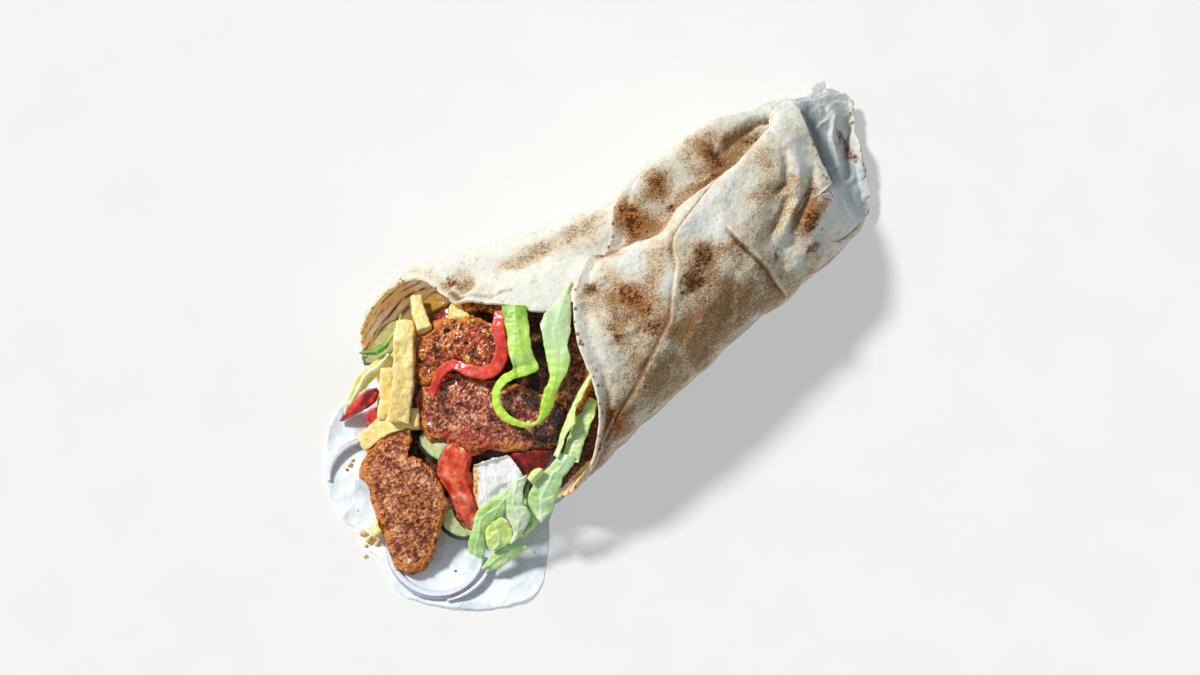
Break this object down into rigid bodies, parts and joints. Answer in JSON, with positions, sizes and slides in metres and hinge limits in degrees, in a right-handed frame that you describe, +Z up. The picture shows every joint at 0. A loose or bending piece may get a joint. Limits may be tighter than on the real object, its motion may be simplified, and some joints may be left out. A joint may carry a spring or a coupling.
{
  "type": "doner kebab wrap",
  "caption": "Doner kebab sandwich: thin flatbread rolled round sliced meat, fries, lettuce, tomato, pepper and onion, lying on torn greaseproof paper.",
  "frame": {"origin": "on the table surface, at the flat underside of the paper, under the middle of the roll", "axes": "+X along the roll from its open mouth to its tucked tail, +Y towards the side where the rolled sheet's outer edge ends, +Z up"},
  "size_m": [0.295, 0.1463, 0.0664],
  "materials": {
    "flatbread": "dry, floury, with toasted spots",
    "greaseproof_paper": "crumpled, faint sheen",
    "meat": "seared, grainy and slightly oily",
    "tomato": "wet",
    "pepper": "cooked, glossy",
    "fries": "fried",
    "lettuce": "crisp, slightly wet",
    "lettuce_pale": "crisp, slightly wet",
    "cabbage": "crisp",
    "cucumber": "wet, with dark skin",
    "pickle": "wet",
    "fried_onion": "crisp, browned",
    "onion": "raw, translucent edge",
    "chicken": "cooked, fibrous",
    "herb": "fresh"
  },
  "bodies": {
    "root": {"flatbread": "flatbread", "paper": "greaseproof_paper", "pepper_strip": "pepper", "lettuce_ribbon": "lettuce", "lettuce_loop": "lettuce_pale", "fry_small": "fries", "meat_slice_front": "meat", "fry_long": "fries", "lettuce_leaf_tip": "lettuce_pale", "lettuce_leaf_pale": "lettuce_pale", "lettuce_leaf_low": "lettuce", "lettuce_leaf_fold": "lettuce_pale", "lettuce_leaf_right": "lettuce", "lettuce_leaf_left": "lettuce", "lettuce_leaf_under": "lettuce", "meat_slice_upper": "meat", "meat_piece_top": "meat", "potato_piece_back": "fries", "chicken_slice": "chicken", "meat_slice_middle": "meat", "meat_slice_right": "meat", "tomato_slice_front": "tomato", "fry_lower": "fries", "fry_left": "fries", "fried_onion_left": "fried_onion", "cabbage_shred_left": "cabbage", "tomato_wedge_left": "tomato", "tomato_cube_left": "tomato", "herb_sprig": "herb", "lettuce_tip_left": "lettuce", "pickle_slice": "pickle", "cucumber_slice_back": "cucumber", "tomato_slice_back": "tomato", "tomato_wedge_right": "tomato", "lettuce_shred_right": "lettuce_pale", "lettuce_shred_low": "lettuce", "cucumber_slice_front": "cucumber", "cucumber_slice_middle": "cucumber", "fry_under_meat": "fries", "onion_ring_front": "onion", "onion_layer_front": "onion", "onion_ring_left": "onion", "meat_core": "meat"}
  },
  "joints": []
}
